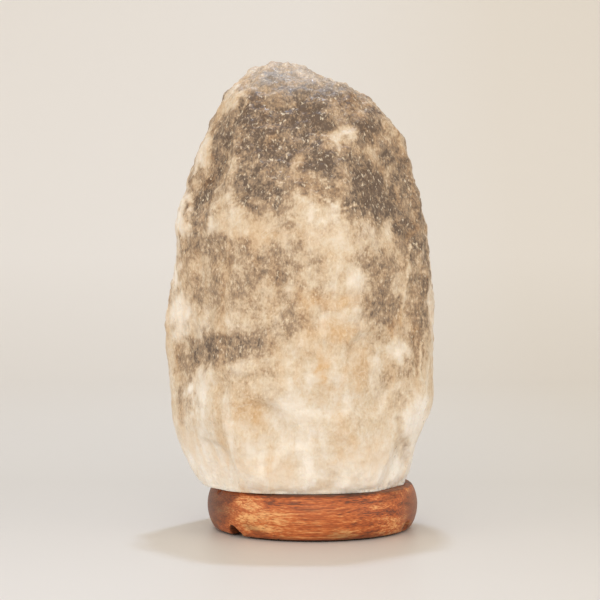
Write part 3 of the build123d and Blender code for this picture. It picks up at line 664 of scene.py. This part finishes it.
# Wooden base: turned across the grain from a reddish hardwood, oiled, knocked at the edges
print("wooden base")
base = {
    "voxel": 0.8,
    "foot": 1.0,
    "top": 27.0,
    "carvedFrom": 50,     # nothing inside this radius is worn
    "edgeWash": 4,
    "dents": 60,
    "dentTop": 4,         # they lie this near the top or the foot
    "dentFoot": 3,
    "dentRadius": (0.8, 2.4),
    "dentDepth": (0.1, 0.45),
    # compass, height, reach and depth of the largest chips, and how far out they are
    "chips": [(335, 4.0, 4.2, 2.4), (205, 26.0, 3.0, 0.9), (312, 26.4, 2.4, 0.7)],
    "chipPlace": 60.5,
    "chipHalo": 1.1,      # the painted shade round a chip, in radii
    "channel": {"compass": 222.5, "halfWidth": 6.6, "top": 7.0},   # left sharp, and dark inside
    "channelShade": 1.4,
    "channelFacing": (0.4, 0.7),
    "shadedTopEdge": (0.2, 1.6, 1.2, 5),   # painted shade on the worn edge where the salt meets the wood: from and to this far below the top, how uneven, size
    "topEdgeShade": (1.2, 0.7, 14),      # how dark it is, how uneven, size
    "warp": (9, 4, 61),               # size, reach and seed of what breaks up the spots
    # colours of the wood, and sizes of its figure
    "gold": "#EAB276", "orange": "#C8713C", "red": "#A9552C", "brown": "#70412B", "end": "#9A6B52",
    "dark": "#3C241A",
    "fibre": 0.5,       # how thick the fibres are ...
    "streak": 26.0,     # ... and how long
    "band": 3.6,
    "dash": 0.8,
    "pore": 0.45,
    "relief": 0.15,
}
# Front of the wood: across, height, half width, half height, tilt, strength
woodShade = [
    (-58, 18, 11, 11, 10, 1.0), (-50, 22, 10, 4, 30, 0.9), (-60, 6, 6, 8, 0, 0.7),
    (58, 13, 6, 14, 0, 0.5), (55, 4, 5, 3, 0, 1.0), (24, 2, 26, 2.2, 0, 0.8), (-20, 1.5, 30, 1.8, 0, 0.6),
    (-4, 19.5, 9, 0.9, 0, 0.8), (-32, 6, 8, 2.0, -25, 0.6), (48, 24, 10, 2, 20, 0.6),
    (16, 4, 12, 2.6, 0, 0.6),
]
woodGold = [
    (-28, 12, 16, 8, 0, 1.0), (-36, 18, 10, 6, 0, 0.7), (16, 5, 10, 2.4, 0, 0.7), (-10, 7, 20, 3, 0, 0.5),
    (44, 8, 10, 4, 0, 0.4),
]


def inChannel(points):
    # the cord channel runs from the middle to its mouth, which the lower left of the picture shows
    turn = math.radians(base["channel"]["compass"])
    aside = np.abs(points[:, 0] * math.sin(turn) - points[:, 1] * math.cos(turn))
    along = points[:, 0] * math.cos(turn) + points[:, 1] * math.sin(turn)
    return (aside < base["channel"]["halfWidth"]) & (along > 0) & (points[:, 2] < base["channel"]["top"])


def chipCentre(compass, height):
    turn = math.radians(compass)
    return np.array([base["chipPlace"] * math.cos(turn), base["chipPlace"] * math.sin(turn), height])


def carveBase(piece):
    mesh = piece.data
    points, normals = readPoints(mesh)
    reach = np.hypot(points[:, 0], points[:, 1])
    outer = (reach > base["carvedFrom"]) & ~inChannel(points)
    points = relax(mesh, points, outer, base["edgeWash"])
    draw = random.Random(12)
    nearTop = points[:, 2] > base["top"] - base["dentTop"]
    nearFoot = points[:, 2] < base["foot"] + base["dentFoot"]
    edge = outer & (nearTop | nearFoot)
    spots = [(points[spot], draw.uniform(*base["dentRadius"]), draw.uniform(*base["dentDepth"]))
             for spot in draw.sample(list(np.flatnonzero(edge)), base["dents"])]
    for compass, height, radius, depth in base["chips"]:
        spots.append((chipCentre(compass, height), radius, depth))
    for place, radius, depth in spots:
        away = np.linalg.norm(points - place, axis=1) / radius
        points -= (np.clip(1 - away ** 2, 0, None) * depth * outer)[:, None] * normals
    points[:, 2] = np.clip(points[:, 2], base["foot"], base["top"])
    writePoints(mesh, points)


def paintBase(piece):
    # shade and gold are layers of the mesh, read from the front; the back has them mirrored
    mesh = piece.data
    points, normals = readPoints(mesh)
    warped = points + shake(points * (0.5, 1, 1), *base["warp"]) * (1, 1, 0.35)
    mirrored = warped * (-1, 1, 1)
    shade = np.maximum(cover(warped, woodShade, -1), cover(mirrored, woodShade, 1))
    gold = np.maximum(cover(warped, woodGold, -1), cover(mirrored, woodGold, 1))
    reach = np.hypot(points[:, 0], points[:, 1])
    outwardness = (points[:, 0] * normals[:, 0] + points[:, 1] * normals[:, 1]) / np.maximum(reach, 1)
    facing = smoothStep(outwardness, *base["channelFacing"])
    shade = np.maximum(shade, base["channelShade"] * inChannel(points) * (1 - facing))
    # the top edge under the salt: worn, and darkened with painted shade where the salt meets the wood
    start, end, uneven, size = base["shadedTopEdge"]
    wornAndShaded = 1 - smoothStep(base["top"] - points[:, 2], start, end + uneven * clouds(points, size, 66))
    dark, uneven, size = base["topEdgeShade"]
    shade = np.maximum(shade, wornAndShaded * (dark + uneven * clouds(points, size, 67)))
    for compass, height, radius, depth in base["chips"]:
        away = np.linalg.norm(points - chipCentre(compass, height), axis=1) / radius
        shade = np.maximum(shade, depth * np.clip(base["chipHalo"] - away, 0, 1))
    writeLayer(mesh, "shade", shade)
    writeLayer(mesh, "gold", gold)


def turnedWoodMaterial():
    # reddish hardwood, turned and oiled: fibres run left to right, so the front shows long streaks and the
    # two ends show dark end grain; a soft sheen, not a varnish
    material, add, place = startMaterial("reddish hardwood, turned and oiled")
    shade, gold = [add("Attribute", {"attribute_name": layer}, {}, "Fac") for layer in ("shade", "gold")]
    drawn = add("Mapping", {}, {"Vector": place, "Scale": (base["fibre"] / base["streak"], 0.3, 1.0)})
    short = add("Mapping", {}, {"Vector": place, "Scale": (0.28, 0.35, 1.0), "Rotation": (0, 0.3, 0)})
    cut = add("Mapping", {}, {"Vector": place, "Scale": (0.09, 0.4, 1.0)})
    fibre, band, dash, pore = [
        add("TexNoise", {}, {"Vector": where, "Scale": perSize(base[size]), **more})
        for where, size, more in ((drawn, "fibre", {"Detail": 3.0, "Roughness": 0.6}),
                                  (drawn, "band", {"Detail": 4.0}),
                                  (short, "dash", {"Detail": 2.0}),
                                  (cut, "pore", {"Detail": 2.0}))]
    mixed = add("Math", timesPlus, {0: fibre, 1: 1.0, 2: band})
    lighter = add("Math", timesPlus, {0: gold, 1: 0.27, 2: mixed})
    speckled = add("Math", timesPlus, {0: dash, 1: 0.36, 2: lighter})
    toned = add("MapRange", {}, {"Value": speckled, "From Min": 0.70, "From Max": 1.68})
    stops = [(0.28, base["brown"]), (0.42, base["red"]), (0.60, base["orange"]), (0.80, base["gold"])]
    streaked = add("ValToRGB", {"stops": stops}, {"Fac": toned})
    openPore = add("MapRange", {}, {"Value": pore, "From Min": 0.55, "From Max": 0.70, "To Max": 0.55})
    pored = add("Mix", blend, {0: openPore, 6: streaked, 7: linear(base["brown"])}, 2)
    facing = add("NewGeometry", {}, {}, "Normal")
    across = add("SeparateXYZ", {}, {"Vector": facing}, "X")
    ends = add("Math", {"operation": "ABSOLUTE"}, {0: across})
    endShare = add("MapRange", {}, {"Value": ends, "From Min": 0.76, "From Max": 0.99, "To Max": 0.6})
    endBroken = add("Math", times | clamped, {0: endShare, 1: speckled})
    endGrain = add("Mix", blend, {0: endBroken, 6: pored, 7: linear(base["end"])}, 2)
    # the shade layer, with painted shade in the channel, the chips and the gap under the salt, is broken up
    # by the dashes
    shadeBreakup = add("Math", timesPlus, {0: dash, 1: 1.0, 2: 0.15})
    shadeShare = add("Math", times | clamped, {0: shade, 1: shadeBreakup})
    darkened = add("Mix", blend, {0: shadeShare, 6: endGrain, 7: linear(base["dark"])}, 2)
    rough = add("MapRange", {}, {"Value": fibre, "To Min": 0.34, "To Max": 0.6})
    bump = add("Bump", {}, {"Height": fibre, "Strength": 0.5, "Distance": base["relief"] * mm})
    return closeMaterial(material, {
        "Base Color": darkened, "Roughness": rough, "Specular IOR Level": 0.35, "Normal": bump})


turnedBase = remeshedCopy("wood_base", "turned_base", base["voxel"])
carveBase(turnedBase)
paintBase(turnedBase)
dress(turnedBase, turnedWoodMaterial())
showInstead(turnedBase, "wood_base", "lamp_stand")

# Felt ring under the base: pressed wool, cut with a knife
print("felt ring")
felt = {
    "voxel": 0.6,
    "fuzz": 0.16,         # how far single tufts are pressed in ...
    "fuzzSize": 1.6,
    "fuzzUpright": 0.4,   # ... and this share of it up and down
    "across": 0.112,      # of the square it was cut from, in metres
    "area": 0.003866,     # of the ring itself, in square metres
    "wool": "#4A3B30",
    "deep": "#221A15",
    "fibre": 0.35,
    "tuft": 2.4,
    "relief": 0.2,
}


def woolFeltMaterial():
    # pressed wool felt, dyed dark brown: dead matt, with a pale fuzz of fibre ends in grazing light
    material, add, place = startMaterial("pressed wool felt")
    fibre = add("TexNoise", {},
                {"Vector": place, "Scale": perSize(felt["fibre"]), "Detail": 3.0, "Distortion": 2.0})
    tuft = add("TexNoise", {}, {"Vector": place, "Scale": perSize(felt["tuft"]), "Detail": 2.0})
    mixed = add("Math", timesPlus, {0: fibre, 1: 0.7, 2: tuft})
    colour = add("ValToRGB", {"stops": [(0.55, felt["deep"]), (1.0, felt["wool"])]}, {"Fac": mixed})
    bump = add("Bump", {}, {"Height": fibre, "Strength": 0.9, "Distance": felt["relief"] * mm})
    return closeMaterial(material, {
        "Base Color": colour, "Roughness": 1.0, "Specular IOR Level": 0.1, "Sheen Weight": 0.35,
        "Sheen Roughness": 0.5, "Normal": bump})


feltRing = remeshedCopy("felt_ring", "felt_ring_pressed", felt["voxel"])
feltPoints, feltNormals = readPoints(feltRing.data)
tufts = np.clip(0.5 + clouds(feltPoints, felt["fuzzSize"], 71), 0, 1) * felt["fuzz"]
feltPoints -= tufts[:, None] * feltNormals * (1, 1, felt["fuzzUpright"])
feltPoints[:, 2] = np.maximum(feltPoints[:, 2], 0.0)
writePoints(feltRing.data, feltPoints)
dress(feltRing, woolFeltMaterial())
showInstead(feltRing, "felt_ring", "lamp_stand")

# Metal finishes. Marks are the size of the tool marks, lay how they are drawn out along x, y and z
print("fittings")
metals = {
    # barrel-plated screws and washers: pale blue-grey, softly bright, duller in patches
    "zinc-plated steel": {"tone": "#C4C9CC", "wornAndShaded": "#9FA19E", "wear": 0.6, "rough": (0.24, 0.46),
                          "marks": 0.5, "lay": (1, 1, 1), "patch": 3.0, "relief": 0.015},
    # rolled strip, hardened and oiled: mid grey with fine lines along the strip
    "spring steel strip": {"tone": "#A7AAAC", "wornAndShaded": "#7E7A74", "wear": 0.5, "rough": (0.20, 0.38),
                           "marks": 0.35, "lay": (1, 1, 0.08), "patch": 4.0, "relief": 0.01},
    # thin plate on drawn brass: warm silver, yellow where the crests have rubbed
    "nickelled brass sheet": {"tone": "#D3CCBC", "wornAndShaded": "#C9A869", "wear": 0.7, "rough": (0.14, 0.32),
                              "marks": 0.4, "lay": (1, 1, 0.2), "patch": 2.2, "relief": 0.01},
    # machined bar: clear yellow, with a faint brown tarnish
    "machined brass": {"tone": "#D4AE62", "wornAndShaded": "#A67F3E", "wear": 0.6, "rough": (0.22, 0.40),
                       "marks": 0.3, "lay": (1, 0.1, 1), "patch": 2.0, "relief": 0.012},
    # phosphor bronze strip: redder than brass, springy and smooth
    "phosphor bronze strip": {"tone": "#C58F5C", "wornAndShaded": "#93633A", "wear": 0.5, "rough": (0.20, 0.36),
                              "marks": 0.3, "lay": (0.1, 1, 1), "patch": 2.5, "relief": 0.01},
    # a blob of solder: grey, frosted where it cooled last
    "tin solder": {"tone": "#B4B6B7", "wornAndShaded": "#83858A", "wear": 0.8, "rough": (0.30, 0.60),
                   "marks": 0.6, "lay": (1, 1, 1), "patch": 1.2, "relief": 0.05},
    # drawn tungsten wire: dark grey, satin from the die
    "tungsten wire": {"tone": "#7C7D80", "wornAndShaded": "#55565A", "wear": 0.5, "rough": (0.30, 0.50),
                      "marks": 0.15, "lay": (1, 1, 0.2), "patch": 1.5, "relief": 0.004},
    # wire clad in copper and passed through borax: dull brick red
    "copper-clad wire": {"tone": "#C08064", "wornAndShaded": "#8A4B38", "wear": 0.7, "rough": (0.28, 0.50),
                         "marks": 0.2, "lay": (1, 1, 0.2), "patch": 1.2, "relief": 0.006},
}
# Moulded plastics: tone, the shade in the hollows of the grain, roughness, IOR and the grain of the mould
plastics = {
    # glass-filled heat-proof moulding: black, satin, with the fine grain of a spark-eroded mould
    "black thermoplastic": {"tone": "#1E1E20", "hollow": "#121214", "rough": (0.34, 0.52), "ior": 1.53,
                            "grain": 0.25, "relief": 0.02, "glow": 0.0},
    # white heat-proof moulding: slightly warm, smoother than the black
    "white thermoplastic": {"tone": "#E8E4DA", "hollow": "#D8D2C4", "rough": (0.28, 0.44), "ior": 1.53,
                            "grain": 0.4, "relief": 0.012, "glow": 0.0},
    # natural nylon: waxy, a little light passes through it
    "natural nylon": {"tone": "#E9E6DA", "hollow": "#D9D4C3", "rough": (0.30, 0.45), "ior": 1.53,
                      "grain": 0.5, "relief": 0.02, "glow": 0.25},
}
glasses = {
    # blown soda-lime glass: clear and colourless, with the faint waves of the mould
    "blown clear glass": {"tone": "#FDFEFE", "clear": 1.0, "rough": 0.0, "wave": 9.0, "relief": 0.05},
    # glass pressed black with manganese, the insulator of the cap: shiny like obsidian
    "pressed black glass": {"tone": "#0D0D12", "clear": 0.0, "rough": 0.08, "wave": 1.5, "relief": 0.03},
}
wearers = {
    "zinc-plated steel": ["crystal_screws", "screw_washers", "terminal_screws"],
    "spring steel strip": ["spring_clip"],
    "phosphor bronze strip": ["centre_contact"],
    "machined brass": ["terminal_blocks"],
    "tin solder": ["bulb_contact"],
    "tungsten wire": ["support_wires"],
    "copper-clad wire": ["lead_wires"],
    "black thermoplastic": ["holder_cap", "holder_body"],
    "white thermoplastic": ["terminal_carrier"],
    "natural nylon": ["screw_plugs"],
    "blown clear glass": ["bulb_glass", "bulb_stem"],
    "pressed black glass": ["bulb_insulator"],
}


def metalMaterial(name):
    look = metals[name]
    material, add, place = startMaterial(name)
    drawn = add("Mapping", {}, {"Vector": place, "Scale": look["lay"]})
    marks = add("TexNoise", {}, {"Vector": drawn, "Scale": perSize(look["marks"]), "Detail": 4.0})
    patch = add("TexNoise", {}, {"Vector": place, "Scale": perSize(look["patch"]), "Detail": 3.0})
    wornAndShaded = add("MapRange", {}, {"Value": patch, "From Min": 0.48, "From Max": 0.72, "To Max": look["wear"]})
    colour = add("Mix", blend, {0: wornAndShaded, 6: linear(look["tone"]), 7: linear(look["wornAndShaded"])}, 2)
    least, most = look["rough"]
    rough = add("MapRange", {}, {"Value": marks, "From Min": 0.3, "From Max": 0.7,
                                 "To Min": least, "To Max": most})
    bump = add("Bump", {}, {"Height": marks, "Strength": 0.6, "Distance": look["relief"] * mm})
    return closeMaterial(material, {
        "Base Color": colour, "Metallic": 1.0, "Roughness": rough, "Normal": bump})


def plasticMaterial(name):
    look = plastics[name]
    material, add, place = startMaterial(name)
    grain = add("TexNoise", {}, {"Vector": place, "Scale": perSize(look["grain"]), "Detail": 3.0})
    colour = add("Mix", blend, {0: grain, 6: linear(look["hollow"]), 7: linear(look["tone"])}, 2)
    least, most = look["rough"]
    rough = add("MapRange", {}, {"Value": grain, "From Min": 0.3, "From Max": 0.7,
                                 "To Min": most, "To Max": least})
    bump = add("Bump", {}, {"Height": grain, "Strength": 0.5, "Distance": look["relief"] * mm})
    return closeMaterial(material, {
        "Base Color": colour, "Roughness": rough, "IOR": look["ior"], "Normal": bump,
        "Subsurface Weight": look["glow"], "Subsurface Scale": 0.002})


def glassMaterial(name):
    look = glasses[name]
    material, add, place = startMaterial(name)
    wave = add("TexNoise", {}, {"Vector": place, "Scale": perSize(look["wave"]), "Detail": 1.0})
    bump = add("Bump", {}, {"Height": wave, "Strength": 0.4, "Distance": look["relief"] * mm})
    return closeMaterial(material, {
        "Base Color": linear(look["tone"]), "Roughness": look["rough"], "IOR": 1.52,
        "Transmission Weight": look["clear"], "Normal": bump})


finishes = {}
for makeMaterial, looks in ((metalMaterial, metals), (plasticMaterial, plastics), (glassMaterial, glasses)):
    finishes.update({name: makeMaterial(name) for name in looks})
for finish, nodeNames in wearers.items():
    for nodeName in nodeNames:
        dress(nodes[nodeName], finishes[finish])

# Rolled screw thread of the bulb's cap and of the shell that it turns in: both follow one helix
print("threads")
thread = {
    "pitch": 2.822,
    "depth": 0.5,
    "capCrest": 6.95,
    "capSheet": 0.3,
    "shellCrest": 7.05,       # 0.1 mm outside the cap all the way
    "shellSheet": 0.45,
    "capLow": (34.6, 36.4),   # heights over which the thread of the cap runs in ...
    "capHigh": (43.0, 44.6),  # ... and out
    "shellLow": (29.6, 31.4),
    "shellHigh": (40.4, 42.8),
    "segments": 96,
    "rise": 0.2,              # height of one row of faces
    "tabHalfWidth": 1.3,
    "tabFoot": 26.0,
    "tabOverlap": 0.2,        # how far it reaches up into the shell
    "tabSteps": 6,
}
capShape = {"foot": 34.11, "footRadius": 6.0, "shoulder": 35.31, "threadTop": 47.71, "flareTop": 50.71,
            "skirtRadius": 8.5, "top": 56.11}
shellShape = {"foot": 29.0, "top": 43.0}


def groove(height, turn):
    # 0 on a crest and 1 in the bottom of the groove of a right-handed thread
    return 0.5 - 0.5 * math.cos(2 * math.pi * height / thread["pitch"] - turn)


def capRadius(height, turn):
    runIn = smoothStep(height, *thread["capLow"])
    runOut = smoothStep(height, *thread["capHigh"])
    cut = 1 - runIn * (1 - groove(height, turn) * (1 - runOut))
    radius = thread["capCrest"] - thread["depth"] * cut
    if height < capShape["shoulder"]:
        share = (height - capShape["foot"]) / (capShape["shoulder"] - capShape["foot"])
        return capShape["footRadius"] + (radius - capShape["footRadius"]) * math.sin(share * math.pi / 2)
    flare = smoothStep(height, capShape["threadTop"], capShape["flareTop"])
    return radius + (capShape["skirtRadius"] - radius) * flare


def shellRadius(height, turn):
    ridge = smoothStep(height, *thread["shellLow"]) * (1 - smoothStep(height, *thread["shellHigh"]))
    return thread["shellCrest"] + thread["shellSheet"] - thread["depth"] * groove(height, turn) * ridge


def polar(radius, turn, height):
    return radius * math.cos(turn) * mm, radius * math.sin(turn) * mm, height * mm


def rollSheet(name, radiusAt, foot, top, sheet):
    # a tube of thin sheet: rows of the outside from the foot up, then rows of the inside back down
    count = thread["segments"]
    steps = math.ceil((top - foot) / thread["rise"])
    heights = [foot + (top - foot) * step / steps for step in range(steps + 1)]
    rows = [(height, 0.0) for height in heights] + [(height, sheet) for height in reversed(heights)]
    work = bmesh.new()
    rings = []
    for height, inset in rows:
        ring = []
        for segment in range(count):
            turn = 2 * math.pi * segment / count
            radius = radiusAt(height, turn) - inset
            ring.append(work.verts.new(polar(radius, turn, height)))
        rings.append(ring)
    for ring, above in zip(rings, rings[1:] + rings[:1]):
        for segment in range(count):
            following = (segment + 1) % count
            work.faces.new((ring[segment], ring[following], above[following], above[segment]))
    mesh = bpy.data.meshes.new(name)
    work.to_mesh(mesh)
    work.free()
    mesh.shade_smooth()
    piece = bpy.data.objects.new(name, mesh)
    scene.collection.objects.link(piece)
    return piece


def addTab(piece):
    # the tab that hangs from the foot of the shell, bent to its curve
    work = bmesh.new()
    work.from_mesh(piece.data)
    outer = thread["shellCrest"] + thread["shellSheet"]
    reach = math.asin(thread["tabHalfWidth"] / outer)
    inner = thread["shellCrest"]
    foot = thread["tabFoot"]
    top = shellShape["foot"] + thread["tabOverlap"]
    section = [(outer, foot), (outer, top), (inner, top), (inner, foot)]
    corners = []
    for step in range(thread["tabSteps"] + 1):
        turn = math.pi - reach + 2 * reach * step / thread["tabSteps"]
        corners.append([work.verts.new(polar(radius, turn, height)) for radius, height in section])
    for here, beyond in zip(corners, corners[1:]):
        for side in range(4):
            following = (side + 1) % 4
            work.faces.new((here[side], here[following], beyond[following], beyond[side]))
    work.faces.new(corners[0][::-1])
    work.faces.new(corners[-1])
    bmesh.ops.recalc_face_normals(work, faces=work.faces)
    work.to_mesh(piece.data)
    work.free()


screwCap = rollSheet("screw_cap", capRadius, capShape["foot"], capShape["top"], thread["capSheet"])
dress(screwCap, finishes["nickelled brass sheet"])
showInstead(screwCap, "bulb_cap", "bulb")
screwShell = rollSheet("screw_shell", shellRadius, shellShape["foot"], shellShape["top"],
                       thread["shellSheet"])
addTab(screwShell)
dress(screwShell, finishes["nickelled brass sheet"])
showInstead(screwShell, "thread_shell", "lampholder")

# Filament: fine wire wound into a coil, hung in a zigzag over the two supports
print("filament")
coil = {
    "course": [(-7, 75.11), (-7, 75.91), (-3.5, 78.31), (0, 76.11), (3.5, 78.31), (7, 75.91), (7, 75.11)],
    "radius": 0.15,
    "wire": 0.04,
    "pitch": 0.17,
    "pointsPerTurn": 10,
}


def windCoil():
    points = []
    travelled = 0.0
    step = coil["pitch"] / coil["pointsPerTurn"]
    for (x0, z0), (x1, z1) in zip(coil["course"], coil["course"][1:]):
        run = math.hypot(x1 - x0, z1 - z0)
        along = Vector(((x1 - x0) / run, 0, (z1 - z0) / run))
        aside = Vector((-along.z, 0, along.x))
        for number in range(int(run / step)):
            turn = 2 * math.pi * travelled / coil["pitch"]
            middle = Vector((x0, 0, z0)) + along * number * step
            spoke = aside * math.cos(turn) + Vector((0, math.sin(turn), 0))
            points.append(middle + spoke * coil["radius"])
            travelled += step
    curve = bpy.data.curves.new("wound filament", "CURVE")
    curve.dimensions = "3D"
    curve.bevel_depth = coil["wire"] * mm
    curve.bevel_resolution = 1
    spline = curve.splines.new("POLY")
    spline.points.add(len(points) - 1)
    for place, point in zip(spline.points, points):
        place.co = (*(point * mm), 1)
    drawn = bpy.data.objects.new("drawn filament", curve)
    scene.collection.objects.link(drawn)
    bpy.context.view_layer.update()
    mesh = bpy.data.meshes.new_from_object(drawn.evaluated_get(bpy.context.evaluated_depsgraph_get()))
    bpy.data.objects.remove(drawn)
    piece = bpy.data.objects.new("wound_filament", mesh)
    scene.collection.objects.link(piece)
    return piece


filament = windCoil()
dress(filament, finishes["tungsten wire"])
showInstead(filament, "filament", "bulb")

print("done")
